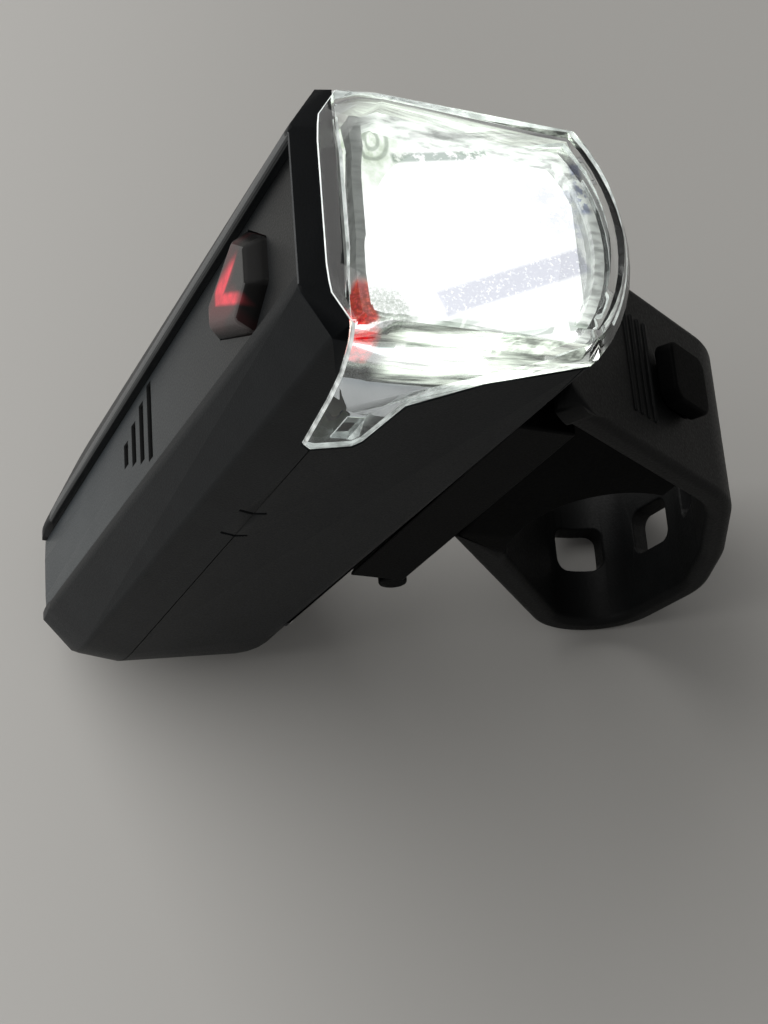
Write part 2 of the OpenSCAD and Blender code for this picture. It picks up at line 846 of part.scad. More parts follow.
module release_tongue() {
    color([0.06, 0.062, 0.065])
    on_keel()
    union() {
        translate([bracket_rear - nub_out, -tongue_w / 2, -bracket_h])
            cube([tongue_root - bracket_rear + nub_out - 0.3, tongue_w, tongue_t]);
        // Catch that sits in the rail
        translate([foot_rear + 1.9, -2.2, -bracket_h + tongue_t - 0.1])
            cube([1.7, 4.4, 0.9]);
        // Nub that a finger pulls
        translate([bracket_rear - nub_out, 0, -bracket_h + 0.2])
            rotate([90, 0, 0])
                cylinder(r = nub_r, h = bracket_w - 1.2, center = true);
    }
}

// Inside of the loop: handlebar, front bend, swell, belly and slack end
module loop_inside_2d() {
    translate(bar_c) circle(r = bar_r);
    translate(bend_c) circle(r = bend_r);
    translate(swell_c) circle(r = swell_r);
    translate(belly_c) circle(r = belly_r);
    translate(slack_c) circle(r = slack_r);
    polygon([
        pol(bend_c, bend_r, high_a),
        pol(swell_c, swell_r, high_a),
        pol(swell_c, swell_r, mid_a),
        pol(belly_c, belly_r, mid_a),
        pol(belly_c, belly_r, low_a),
        pol(slack_c, slack_r, low_a),
        pol(slack_c, slack_r, rear_a),
        pol(bar_c, bar_r, rear_a),
        bar_c,
        bend_c]);
}

module loop_outside_2d() {
    translate(bend_c) circle(r = out_b);
    translate(swell_c) circle(r = out_w);
    translate(belly_c) circle(r = out_m);
    translate(slack_c) circle(r = out_s);
    polygon([
        top_rear,
        touch(top_rear, slack_c, out_s, 1),
        pol(slack_c, out_s, low_a),
        pol(belly_c, out_m, low_a),
        pol(belly_c, out_m, mid_a),
        pol(swell_c, out_w, mid_a),
        pol(swell_c, out_w, high_a),
        pol(bend_c, out_b, high_a),
        front_touch,
        tab_pt(0),
        tab_pt(strap_t),
        saddle_front_top]);
}

// Block over the handlebar; its rear face meets the root of the strap
module saddle_2d() {
    difference() {
        polygon([
            top_rear + [1.2, -1.2 * keel_slope],
            saddle_front_top,
            saddle_front_low,
            bar_c,
            bar_c + [-8, 4],
            [top_rear[0] + 1.2 - 5.4, bar_c[1] + bar_r - 4]]);
        translate(bar_c) circle(r = bar_r);
    }
}

module strap_2d() {
    difference() {
        loop_outside_2d();
        loop_inside_2d();
        polygon([
            top_rear + [1.2, -1.2 * keel_slope],
            top_rear + [1.2, 20],
            tab_pt(strap_t) + [0, 20],
            tab_pt(strap_t),
            run_pt(strap_t, run_l),
            bend_c,
            bar_c,
            bar_c + [-8, 4],
            [top_rear[0] + 1.2 - 5.4, bar_c[1] + bar_r - 4]]);
    }
}

// On the front run of the strap: X along the run, Z out of it
module on_run(s) {
    translate([top_front[0] + run_v[0] * s, 0, top_front[1] + run_v[1] * s])
        rotate([0, -run_a, 0])
            children();
}

// On the loop round one of its centres: Z out of it
module on_loop(c, a) {
    translate([c[0], 0, c[1]])
        rotate([0, 90 - a, 0])
            children();
}

// Block with round corners: holes through the strap and the head of the hook
module round_block(l, w, h) {
    translate([-l / 2 + hole_r, -w / 2, -h / 2])
        cube([l - 2 * hole_r, w, h]);
    translate([-l / 2, -w / 2 + hole_r, -h / 2])
        cube([l, w - 2 * hole_r, h]);
    for (x = [-1, 1], y = [-1, 1]) {
        translate([x * (l / 2 - hole_r), y * (w / 2 - hole_r), -h / 2])
            cylinder(r = hole_r, h = h);
    }
}

module strap() {
    color([0.055, 0.058, 0.06])
    difference() {
        union() {
            bar_y(strap_w) strap_2d();
            // Grip ribs beside the hook
            for (i = [0:rib_n - 1]) {
                on_run(hook_s - hole_l / 2 - 2.4 - 1.4 * i)
                    rotate([90, 0, 0])
                        cylinder(r = rib_r, h = strap_w - 8, center = true);
            }
        }
        // Round corners of the free end
        for (m = [0, 1]) {
            mirror([0, m, 0])
                on_run(tab_s(0))
                    linear_extrude(24, center = true)
                        difference() {
                            translate([-1, strap_w / 2 - tab_r])
                                square([tab_r + 1, tab_r + 1]);
                            translate([tab_r, strap_w / 2 - tab_r])
                                circle(r = tab_r);
                        }
        }
        // Hole over the hook
        on_run(hook_s)
            round_block(hole_l, hole_w, 12);
        // Further holes round the loop
        on_loop(slack_c, 191)
            translate([0, 0, slack_r])
                round_block(hole_l, hole_w, 10);
        on_loop(belly_c, 244)
            translate([0, 0, belly_r])
                round_block(hole_l, hole_w, 10);
        on_loop(belly_c, front_a)
            translate([-4.4, 0, belly_r])
                round_block(hole_l, hole_w, 10);
    }
}

// Wedge that narrows the saddle towards the lens, on both sides
module saddle_waist() {
    for (m = [0, 1]) {
        mirror([0, m, 0])
            translate([-bar_x, strap_w / 2, -150])
                rotate([0, 0, -atan(saddle_taper)])
                    translate([-0.01, 0, 0])
                        cube([80, 30, 200]);
    }
}

module saddle() {
    color([0.06, 0.062, 0.064])
    difference() {
        union() {
            difference() {
                bar_y(strap_w) saddle_2d();
                saddle_waist();
            }
            // Hook through the strap
            on_run(hook_s) {
                translate([-lug_l / 2, -lug_w / 2, -strap_t - strap_gap - 1])
                    cube([lug_l, lug_w, strap_t + strap_gap + 1 + head_z + head_t]);
                translate([-head_over / 2, 0, head_z + head_t / 2])
                    round_block(lug_l + head_over, head_w, head_t);
            }
        }
        // Way for the saddle screw
        on_keel()
            translate([-bar_x + 3, 0, -40]) {
                cylinder(d = 3.2, h = 40);
                cylinder(d = 6.2, h = 40 - bracket_h - 4);
            }
    }
}

module saddle_screw() {
    color([0.62, 0.62, 0.64])
    on_keel()
        translate([-bar_x + 3, 0, -bracket_h - 4])
            union() {
                translate([0, 0, -2])
                    cylinder(d = 5.6, h = 2);
                cylinder(d = 2.5, h = 4 + 1.6);
            }
}

stand() upper_shell();
stand() lower_shell();
stand() top_panel();
stand() button();
stand() switch_body();
stand() switch_stem();
stand() indicator_leds();
stand() main_board();
stand() board_screws();
stand() battery_cell();
stand() usb_socket();
stand() usb_cover();
stand() lens();
stand() lens_gasket();
stand() reflector();
stand() led_emitter();
stand() led_board();
stand() heat_sink();
stand() housing_screws();
stand() seam_seal();
stand() bracket();
stand() release_tongue();
stand() saddle();
stand() saddle_screw();
stand() strap();
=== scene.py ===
import math

import bmesh
import bpy
from mathutils import Matrix, Vector


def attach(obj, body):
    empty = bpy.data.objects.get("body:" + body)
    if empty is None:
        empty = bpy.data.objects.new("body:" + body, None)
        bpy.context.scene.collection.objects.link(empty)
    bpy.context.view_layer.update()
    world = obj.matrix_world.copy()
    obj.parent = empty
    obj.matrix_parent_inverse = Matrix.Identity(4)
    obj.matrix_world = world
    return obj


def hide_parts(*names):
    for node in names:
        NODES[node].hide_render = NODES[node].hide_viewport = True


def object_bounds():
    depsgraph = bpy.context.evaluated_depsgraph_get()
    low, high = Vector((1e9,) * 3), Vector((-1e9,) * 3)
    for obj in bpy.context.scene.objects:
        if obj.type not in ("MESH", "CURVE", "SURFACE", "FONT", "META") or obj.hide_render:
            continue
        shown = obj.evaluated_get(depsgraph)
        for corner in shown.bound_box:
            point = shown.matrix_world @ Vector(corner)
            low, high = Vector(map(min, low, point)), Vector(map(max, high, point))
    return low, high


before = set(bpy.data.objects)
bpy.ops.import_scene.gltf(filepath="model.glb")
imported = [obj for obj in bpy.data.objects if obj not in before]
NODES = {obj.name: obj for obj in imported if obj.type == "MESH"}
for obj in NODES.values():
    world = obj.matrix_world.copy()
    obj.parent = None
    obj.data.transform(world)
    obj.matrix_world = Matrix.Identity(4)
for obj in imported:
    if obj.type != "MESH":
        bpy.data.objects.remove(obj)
CAD_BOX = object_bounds()

# Lamp axes in the row frame: X out of the lens, Y to the left, Z up from the top panel
STAND_TILT = math.radians(66.425518)
STAND_SHIFT = Vector((-4.427467, 0.0, 90.315819))
MM = 0.001
LAMP_TO_ROW = (
    Matrix.Scale(MM, 4)
    @ Matrix.Translation(STAND_SHIFT)
    @ Matrix.Rotation(-STAND_TILT, 4, "Y")
)
ROW_TO_LAMP = LAMP_TO_ROW.inverted()


# Camera of the photograph
CAMERA_PLACE = Vector((-0.002008, -0.104253, 0.261467))
CAMERA_RIGHT = Vector((0.99712, -0.074065, -0.016303))
CAMERA_DOWN = Vector((-0.074455, -0.915173, -0.396125))
CAMERA_AWAY = Vector((0.014419, 0.396198, -0.918052))
CAMERA_LENS = 77.34


def make_camera():
    data = bpy.data.cameras.new("photo_camera")
    data.lens = CAMERA_LENS
    data.sensor_width = 36.0
    data.clip_start = 0.01
    data.clip_end = 20.0
    camera = bpy.data.objects.new("photo_camera", data)
    turn = Matrix((CAMERA_RIGHT, -CAMERA_DOWN, -CAMERA_AWAY)).transposed()
    camera.matrix_world = Matrix.Translation(CAMERA_PLACE) @ turn.to_4x4()
    bpy.context.scene.collection.objects.link(camera)
    bpy.context.scene.camera = camera


# Materials
def new_finish(name):
    """An empty node material with a Principled shader."""
    finish = bpy.data.materials.new(name)
    finish.use_nodes = True
    tree = finish.node_tree
    shader = tree.nodes["Principled BSDF"]
    return finish, tree, shader


def lamp_vector(tree):
    """Object coordinates turned into lamp millimetres."""
    place = tree.nodes.new("ShaderNodeTexCoord")
    turn = tree.nodes.new("ShaderNodeMapping")
    turn.inputs["Scale"].default_value = (1 / MM, 1 / MM, 1 / MM)
    turn.inputs["Rotation"].default_value = (0.0, STAND_TILT, 0.0)
    turn.inputs["Location"].default_value = ROW_TO_LAMP.to_translation()
    tree.links.new(place.outputs["Object"], turn.inputs["Vector"])
    return turn.outputs["Vector"]


def noise(tree, vector, scale, detail=2.0, rough=0.5):
    """Cloudy noise between zero and one."""
    node = tree.nodes.new("ShaderNodeTexNoise")
    node.inputs["Scale"].default_value = scale
    node.inputs["Detail"].default_value = detail
    node.inputs["Roughness"].default_value = rough
    tree.links.new(vector, node.inputs["Vector"])
    return node.outputs["Fac"]


def spread(tree, value, low, high, to_low, to_high, smooth=False):
    """A value carried from one range to another, held at its ends."""
    node = tree.nodes.new("ShaderNodeMapRange")
    node.clamp = True
    if smooth:
        node.interpolation_type = "SMOOTHSTEP"
    node.inputs["From Min"].default_value = low
    node.inputs["From Max"].default_value = high
    node.inputs["To Min"].default_value = to_low
    node.inputs["To Max"].default_value = to_high
    tree.links.new(value, node.inputs["Value"])
    return node.outputs["Result"]


def maths(tree, kind, a, b=None):
    """One step of arithmetic on sockets or numbers."""
    node = tree.nodes.new("ShaderNodeMath")
    node.operation = kind
    for socket, value in zip(node.inputs, (a, b)):
        if value is None:
            continue
        if isinstance(value, (int, float)):
            socket.default_value = value
        else:
            tree.links.new(value, socket)
    return node.outputs["Value"]


def product(tree, *values):
    """All the values multiplied."""
    result = values[0]
    for value in values[1:]:
        result = maths(tree, "MULTIPLY", result, value)
    return result


def mixed(tree, share, dark, light):
    """Two colours mixed by a share."""
    node = tree.nodes.new("ShaderNodeMix")
    node.data_type = "RGBA"
    tree.links.new(share, node.inputs["Factor"])
    colours = [s for s in node.inputs if s.type == "RGBA"]
    for socket, value in zip(colours, (dark, light)):
        if isinstance(value, tuple):
            socket.default_value = value
        else:
            tree.links.new(value, socket)
    return [s for s in node.outputs if s.type == "RGBA"][0]


def split(tree, vector):
    """The three coordinates of a vector."""
    node = tree.nodes.new("ShaderNodeSeparateXYZ")
    tree.links.new(vector, node.inputs["Vector"])
    return node.outputs["X"], node.outputs["Y"], node.outputs["Z"]


def between(tree, value, low, high, soft):
    """One between two limits, falling softly to zero outside them."""
    return maths(
        tree, "MULTIPLY", spread(tree, value, low - soft, low + soft, 0.0, 1.0, True),
        spread(tree, value, high - soft, high + soft, 1.0, 0.0, True))


def stretched(tree, vector, factors):
    """Coordinates scaled unevenly, for streaks."""
    node = tree.nodes.new("ShaderNodeMapping")
    node.inputs["Scale"].default_value = factors
    tree.links.new(vector, node.inputs["Vector"])
    return node.outputs["Vector"]


def add_bump(tree, shader, height, depth):
    """Surface relief from a height, with its depth in metres."""
    node = tree.nodes.new("ShaderNodeBump")
    node.inputs["Strength"].default_value = 1.0
    node.inputs["Distance"].default_value = depth
    tree.links.new(height, node.inputs["Height"])
    tree.links.new(node.outputs["Normal"], shader.inputs["Normal"])


BLACK = (0.0, 0.0, 0.0, 1)
WHITE = (1.0, 1.0, 1.0, 1)


def moulded(
        name, dark, light, rough, grain, depth, metal=0.0, shine=0.5, gloss=WHITE, run=None):
    """Moulded plastic, rubber or metal: fine grain, soft colour change, uneven gloss.

    The grain is per millimetre and its depth in metres. A run gives two places along the lamp
    and two factors, and the colour is scaled from one factor to the other between them.
    """
    finish, tree, shader = new_finish(name)
    shader.inputs["Specular IOR Level"].default_value = shine
    shader.inputs["Specular Tint"].default_value = gloss
    shader.inputs["Metallic"].default_value = metal
    vector = lamp_vector(tree)
    fine = noise(tree, vector, grain, 3.0)
    broad = noise(tree, vector, 0.18, 3.0)
    tint = mixed(tree, spread(tree, broad, 0.35, 0.65, 0.0, 1.0), dark, light)
    if run:
        share = spread(tree, split(tree, vector)[0], *run)
        tint = mixed(tree, share, BLACK, tint)
    tree.links.new(tint, shader.inputs["Base Color"])
    tree.links.new(spread(tree, fine, 0.3, 0.7, *rough), shader.inputs["Roughness"])
    add_bump(tree, shader, fine, depth)
    return finish


def grey(value):
    return (value, value, value, 1.0)


FINISHES = {}


def make_finishes():
    made = FINISHES
    made["shell"] = moulded(
        "shell_plastic", (0.0098, 0.0112, 0.0126, 1), (0.0118, 0.0134, 0.015, 1),
        rough=(0.36, 0.48), grain=5.0, depth=0.00002, shine=0.1)
    # A darker copy of the shell plastic: painted shade on the brow, which faces away from the light.
    made["brow"] = moulded(
        "brow_painted_shade", (0.0044, 0.005, 0.0056, 1), (0.0053, 0.006, 0.0067, 1),
        rough=(0.36, 0.48), grain=5.0, depth=0.00002, shine=0.045)
    # A lighter copy of the shell plastic: painted highlight on the far rail's top and on the ridge.
    made["rail"] = moulded(
        "rail_painted_highlight", (0.056, 0.06, 0.063, 1), (0.066, 0.07, 0.073, 1),
        rough=(0.36, 0.48), grain=5.0, depth=0.00002, shine=0.4)
    made["groove"] = moulded(
        "groove_shade", (0.0015, 0.0016, 0.0017, 1), (0.0022, 0.0024, 0.0025, 1),
        rough=(0.6, 0.7), grain=5.0, depth=0.00001, shine=0.05)
    # The panel's colour is partly its own dark grey and partly painted sheen: the run scales it from
    # near black at the front to full at the tail, as the reflection brightens.
    made["panel"] = moulded(
        "panel_plastic_painted_sheen", (0.039, 0.046, 0.051, 1), (0.045, 0.052, 0.057, 1),
        rough=(0.3, 0.42), grain=4.2, depth=0.00003, shine=0.3, gloss=(0.9, 0.96, 1.0, 1),
        run=(-5.0, -75.0, 0.06, 1.0))
    made["rubber"] = moulded(
        "strap_rubber", (0.0035, 0.0038, 0.004, 1), (0.0055, 0.006, 0.0062, 1),
        rough=(0.42, 0.56), grain=3.2, depth=0.00003, shine=0.12)
    # Darker than the strap's rubber: painted shade under the overhanging strap.
    made["saddle"] = moulded(
        "saddle_rubber_painted_shade", (0.0014, 0.0015, 0.0016, 1), (0.002, 0.0022, 0.0023, 1),
        rough=(0.5, 0.62), grain=3.2, depth=0.00002, shine=0.03)
    made["bracket"] = moulded(
        "bracket_plastic", (0.002, 0.0022, 0.0024, 1), (0.0028, 0.0031, 0.0033, 1),
        rough=(0.45, 0.56), grain=4.5, depth=0.00002, shine=0.05)
    made["seal"] = moulded(
        "seal_rubber", grey(0.008), grey(0.012), rough=(0.6, 0.75), grain=3.0, depth=0.00002)
    made["steel"] = moulded(
        "screw_steel", grey(0.45), grey(0.55), rough=(0.22, 0.35), grain=8.0, depth=0.00001, metal=1.0)
    made["cell"] = moulded(
        "cell_wrap", (0.03, 0.09, 0.24, 1), (0.04, 0.11, 0.28, 1),
        rough=(0.25, 0.35), grain=2.0, depth=0.00001)
    made["board"] = moulded(
        "board_mask", (0.005, 0.05, 0.02, 1), (0.008, 0.06, 0.026, 1),
        rough=(0.3, 0.4), grain=2.0, depth=0.00001)
    made["switch"] = moulded(
        "switch_plastic", grey(0.02), grey(0.03), rough=(0.4, 0.5), grain=4.0, depth=0.00001)
    made["stem"] = moulded(
        "stem_plastic", grey(0.5), grey(0.56), rough=(0.4, 0.5), grain=4.0, depth=0.00001)
    made["sink"] = moulded(
        "sink_alloy", grey(0.5), grey(0.58), rough=(0.3, 0.42), grain=6.0, depth=0.00001, metal=1.0)
    made["lens"] = lens_finish()
    made["lens_edge"] = lens_edge_finish()
    made["clear_seal"] = clear_seal_finish()
    made["reflector"] = reflector_finish()
    made["led"] = glow_finish("led_phosphor", (1.0, 0.96, 0.86, 1), 6.0)
    made["led_board"] = glow_finish("led_board_white", (0.9, 0.95, 1.0, 1), 0.8)
    made["indicator"] = glow_finish("indicator_red", (1.0, 0.05, 0.04, 1), 2.0)
    made["button"] = button_finish("button_smoke", (0.045, 0.046, 0.046, 1), 0.3)
    # The button's front is a darker copy of the button: painted shade on the faces that point forward.
    made["button_front_painted_shade"] = button_finish("button_front_painted_shade", (0.008, 0.008, 0.008, 1), 0.06)


def stripe(tree, y, z, start, end, half, soft):
    """Soft mask along a straight line across the reflector, in lamp millimetres."""
    run = Vector((end[0] - start[0], end[1] - start[1]))
    length = run.length
    run.normalize()
    from_y = maths(tree, "SUBTRACT", y, start[0])
    from_z = maths(tree, "SUBTRACT", z, start[1])
    across = maths(
        tree, "ABSOLUTE",
        maths(tree, "SUBTRACT", maths(tree, "MULTIPLY", from_y, run.y),
              maths(tree, "MULTIPLY", from_z, run.x)))
    along = maths(
        tree, "ABSOLUTE",
        maths(tree, "SUBTRACT",
              maths(tree, "ADD", maths(tree, "MULTIPLY", from_y, run.x),
                    maths(tree, "MULTIPLY", from_z, run.y)), length / 2))
    return maths(
        tree, "MULTIPLY",
        spread(tree, across, half - soft, half + soft, 1.0, 0.0, True),
        spread(tree, along, length / 2 - soft, length / 2 + soft, 1.0, 0.0, True))


def lens_painted_reflections(tree, vector, x, y, z):
    """Colour of the clear plastic with painted reflections: streaks in the window, dashes on the near
    edge; the fins are grey.
    """
    cloud = noise(tree, vector, 0.9, 4.0, 0.65)
    specks = noise(tree, vector, 3.4, 3.0, 0.6)
    broken = noise(tree, stretched(tree, vector, (0.2, 0.2, 0.55)), 1.0, 1.0)
    window = spread(tree, x, 3.0, 3.4, 0.0, 1.0)
    streak = product(
        tree, stripe(tree, y, z, (-10.3, -11.1), (-3.4, -26.4), 1.35, 0.35),
        spread(tree, specks, 0.56, 0.7, 1.0, 0.15), window)
    far_dash = product(
        tree, stripe(tree, y, z, (4.3, -7.5), (6.4, -17.3), 0.5, 0.2),
        spread(tree, cloud, 0.4, 0.5, 0.15, 1.0), window)
    far_line = product(tree, stripe(tree, y, z, (7.1, -9.4), (9.8, -25.0), 0.38, 0.25), window)
    patches = product(
        tree, between(tree, z, -26.6, -20.5, 1.0), between(tree, y, -1.4, 4.4, 1.0),
        spread(tree, cloud, 0.44, 0.55, 0.0, 0.8), window)
    low_spots = product(
        tree, stripe(tree, y, z, (7.0, -26.4), (1.6, -27.2), 0.55, 0.3),
        spread(tree, cloud, 0.44, 0.54, 0.0, 1.0), window)
    corner = product(
        tree, spread(tree, y, -9.0, -9.8, 0.0, 1.0), spread(tree, z, -8.6, -7.8, 0.0, 1.0),
        spread(tree, x, 1.6, 2.0, 0.0, 1.0), spread(tree, specks, 0.44, 0.66, 1.0, 0.0))
    line = maths(tree, "ADD", x, maths(tree, "MULTIPLY", maths(tree, "ADD", z, 6.8), 0.19))
    near_dash = product(
        tree, between(tree, line, 0.05, 0.6, 0.1), spread(tree, y, -10.0, -10.4, 0.0, 1.0),
        spread(tree, broken, 0.46, 0.5, 0.0, 1.0))
    fin = spread(tree, x, -5.5, -2.5, 1.0, 0.0, True)
    tint = mixed(tree, fin, (0.97, 0.99, 0.98, 1), (0.62, 0.65, 0.65, 1))
    for share, colour in (
        (patches, (0.55, 0.57, 0.74, 1)), (far_line, (0.46, 0.46, 0.47, 1)),
        (streak, (0.37, 0.38, 0.46, 1)), (far_dash, (0.2, 0.25, 0.22, 1)),
        (low_spots, (0.22, 0.25, 0.42, 1)), (corner, (0.42, 0.47, 0.42, 1)),
        (near_dash, (0.36, 0.42, 0.37, 1)),
    ):
        tint = mixed(tree, share, tint, colour)
    return tint


def lens_finish():
    """Clear polished plastic with faint dust and painted reflections in its colour; light runs along its
    side walls to the fins.
    """
    finish, tree, shader = new_finish("lens_clear")
    vector = lamp_vector(tree)
    x, y, z = split(tree, vector)
    tree.links.new(lens_painted_reflections(tree, vector, x, y, z), shader.inputs["Base Color"])
    shader.inputs["Transmission Weight"].default_value = 1.0
    shader.inputs["IOR"].default_value = 1.49
    dust = noise(tree, vector, 2.6, 4.0, 0.7)
    tree.links.new(spread(tree, dust, 0.6, 0.75, 0.015, 0.12), shader.inputs["Roughness"])
    streaks = noise(tree, stretched(tree, vector, (1.6, 1.6, 0.14)), 1.0, 3.0, 0.6)
    near = product(
        tree, spread(tree, y, -10.6, -11.6, 0.0, 1.0, True), spread(tree, z, -7.0, -9.0, 0.0, 1.0, True))
    far = product(
        tree, spread(tree, y, 10.4, 11.4, 0.0, 0.75, True), spread(tree, z, -5.5, -9.0, 0.0, 1.0, True))
    lit = product(
        tree, between(tree, x, -5.2, 1.3, 0.7), maths(tree, "MAXIMUM", near, far),
        spread(tree, streaks, 0.38, 0.62, 0.05, 0.75))
    flame = noise(tree, vector, 1.6, 2.0, 0.5)
    red = product(
        tree, between(tree, x, -2.6, 1.7, 0.3), spread(tree, y, -10.6, -11.2, 0.0, 1.0),
        spread(tree, z, -6.3, -5.6, 0.0, 1.0), spread(tree, flame, 0.38, 0.6, 0.18, 0.55))
    on_red = spread(tree, red, 0.0, 0.06, 0.0, 1.0)
    tree.links.new(
        mixed(tree, on_red, (0.9, 1.0, 0.86, 1), (0.8, 0.004, 0.008, 1)),
        shader.inputs["Emission Color"])
    tree.links.new(maths(tree, "MAXIMUM", lit, red), shader.inputs["Emission Strength"])
    return finish


def lens_edge_finish():
    """Rim of the clear lens, where the light inside comes out."""
    finish, tree, shader = new_finish("lens_edge")
    vector = lamp_vector(tree)
    streak = noise(tree, vector, 0.8, 3.0, 0.6)
    shader.inputs["Base Color"].default_value = (0.7, 0.74, 0.73, 1)
    shader.inputs["Roughness"].default_value = 0.25
    shader.inputs["Emission Color"].default_value = (0.95, 1.0, 0.97, 1)
    tree.links.new(
        spread(tree, streak, 0.35, 0.65, 0.12, 0.6), shader.inputs["Emission Strength"]
    )
    return finish


def red_corner(tree, y, z):
    """Mask of the red light that leaks in at the near upper corner of the lens."""
    return maths(
        tree, "MULTIPLY", spread(tree, y, -7.2, -6.2, 1.0, 0.0, True),
        spread(tree, z, -6.9, -6.3, 0.0, 1.0, True))


def red_flame(tree, vector):
    """Deep red with hot spots."""
    flame = noise(tree, vector, 1.6, 2.0, 0.5)
    return mixed(
        tree, spread(tree, flame, 0.45, 0.66, 0.0, 1.0), (0.5, 0.003, 0.006, 1), (1.0, 0.1, 0.02, 1))


def reflector_finish():
    """Bright metallised reflector, lit by the lamp, with a moulded boss in one corner drawn as two
    darker rings of painted shade in the glow.
    """
    finish, tree, shader = new_finish("reflector_lit")
    vector = lamp_vector(tree)
    _, y, z = split(tree, vector)
    cloud = noise(tree, vector, 0.9, 4.0, 0.65)
    boss_y = maths(tree, "SUBTRACT", y, 8.8)
    boss_z = maths(tree, "SUBTRACT", z, -7.7)
    boss_r = maths(
        tree, "SQRT",
        maths(tree, "ADD", maths(tree, "MULTIPLY", boss_y, boss_y),
              maths(tree, "MULTIPLY", boss_z, boss_z)))
    from_outer = maths(tree, "ABSOLUTE", maths(tree, "SUBTRACT", boss_r, 1.7))
    from_inner = maths(tree, "ABSOLUTE", maths(tree, "SUBTRACT", boss_r, 0.8))
    # The boss's rims as painted shade: two darker rings in the glow.
    ring = maths(
        tree, "MAXIMUM", spread(tree, from_outer, 0.12, 0.3, 0.8, 0.0),
        spread(tree, from_inner, 0.1, 0.25, 0.8, 0.0))
    green = product(
        tree, spread(tree, y, 1.0, 8.0, 0.0, 1.0, True), spread(tree, z, -13.0, -8.0, 0.0, 1.0, True),
        spread(tree, cloud, 0.36, 0.6, 1.0, 0.35))
    red = red_corner(tree, y, z)
    tint = mixed(tree, green, WHITE, (0.84, 0.97, 0.76, 1))
    tint = mixed(tree, ring, tint, (0.4, 0.47, 0.38, 1))
    tint = mixed(tree, red, tint, red_flame(tree, vector))
    shader.inputs["Base Color"].default_value = (0.08, 0.085, 0.09, 1)
    shader.inputs["Roughness"].default_value = 0.3
    tree.links.new(tint, shader.inputs["Emission Color"])
    dim = maths(tree, "MAXIMUM", maths(tree, "MULTIPLY", green, 0.8), red)
    tree.links.new(spread(tree, dim, 0.0, 1.0, 1.25, 0.6), shader.inputs["Emission Strength"])
    return finish


def clear_seal_finish():
    """Milky clear seal round the reflector, with streaks of light and a red leak."""
    finish, tree, shader = new_finish("clear_seal")
    vector = lamp_vector(tree)
    _, y, z = split(tree, vector)
    streaks = noise(tree, stretched(tree, vector, (1.0, 1.4, 0.4)), 1.0, 3.0, 0.6)
    red = red_corner(tree, y, z)
    tint = mixed(tree, red, (0.95, 1.0, 0.94, 1), red_flame(tree, vector))
    tree.links.new(tint, shader.inputs["Emission Color"])
    lower = spread(tree, z, -8.0, -5.5, 1.0, 0.12, True)
    glow = product(
        tree, spread(tree, streaks, 0.36, 0.56, 0.45, 1.1), lower,
        spread(tree, z, -29.5, -26.5, 0.35, 1.0))
    tree.links.new(
        maths(tree, "MAXIMUM", glow, maths(tree, "MULTIPLY", red, 0.6)),
        shader.inputs["Emission Strength"])
    shader.inputs["Base Color"].default_value = (0.3, 0.31, 0.31, 1)
    shader.inputs["Roughness"].default_value = 0.35
    return finish


def glow_finish(name, colour, strength):
    """A lit surface of one colour, slightly uneven."""
    finish, tree, shader = new_finish(name)
    vector = lamp_vector(tree)
    cloud = noise(tree, vector, 1.5, 2.0)
    shader.inputs["Base Color"].default_value = colour
    shader.inputs["Emission Color"].default_value = colour
    tree.links.new(
        spread(tree, cloud, 0.3, 0.7, strength * 0.9, strength * 1.1),
        shader.inputs["Emission Strength"])
    return finish


def button_finish(name, smoke, shine):
    """Smoky translucent button with a red arrow of light that points to the tail."""
    finish, tree, shader = new_finish(name)
    vector = lamp_vector(tree)
    x, y, _ = split(tree, vector)
    fine = noise(tree, vector, 5.0, 3.0)
    cloud = noise(tree, vector, 0.7, 2.0)
    side = maths(tree, "ABSOLUTE", y)
    arm = maths(tree, "SUBTRACT", x, maths(tree, "MULTIPLY", side, 2.0))
    outer = maths(tree, "SUBTRACT", arm, spread(tree, y, -0.2, 0.8, -19.2, -22.0))
    core = product(
        tree, spread(tree, outer, -0.7, 0.5, 0.0, 1.0, True),
        spread(tree, arm, -17.4, -16.0, 1.0, 0.0, True),
        spread(tree, x, -19.6, -18.8, 0.0, 1.0, True), spread(tree, x, -14.5, -11.5, 1.0, 0.0, True))
    fade = product(
        tree, spread(tree, y, 1.2, 2.8, 1.0, 0.05, True), spread(tree, y, -3.4, -2.5, 0.3, 1.0, True))
    glow = product(tree, core, fade, spread(tree, cloud, 0.35, 0.6, 0.7, 1.0))
    haze = product(
        tree, spread(tree, arm, -26.0, -19.5, 0.0, 0.07, True),
        spread(tree, arm, -16.8, -13.8, 1.0, 0.0, True), fade,
        spread(tree, x, -14.5, -12.5, 1.0, 0.0, True))
    shader.inputs["Specular IOR Level"].default_value = shine
    shader.inputs["Emission Color"].default_value = (1.0, 0.07, 0.1, 1)
    tree.links.new(
        maths(tree, "MAXIMUM", maths(tree, "MULTIPLY", glow, 0.75), haze),
        shader.inputs["Emission Strength"])
    tree.links.new(
        mixed(tree, glow, smoke, (0.1, 0.03, 0.035, 1)), shader.inputs["Base Color"])
    tree.links.new(spread(tree, fine, 0.3, 0.7, 0.3, 0.42), shader.inputs["Roughness"])
    add_bump(tree, shader, fine, 0.00001)
    return finish


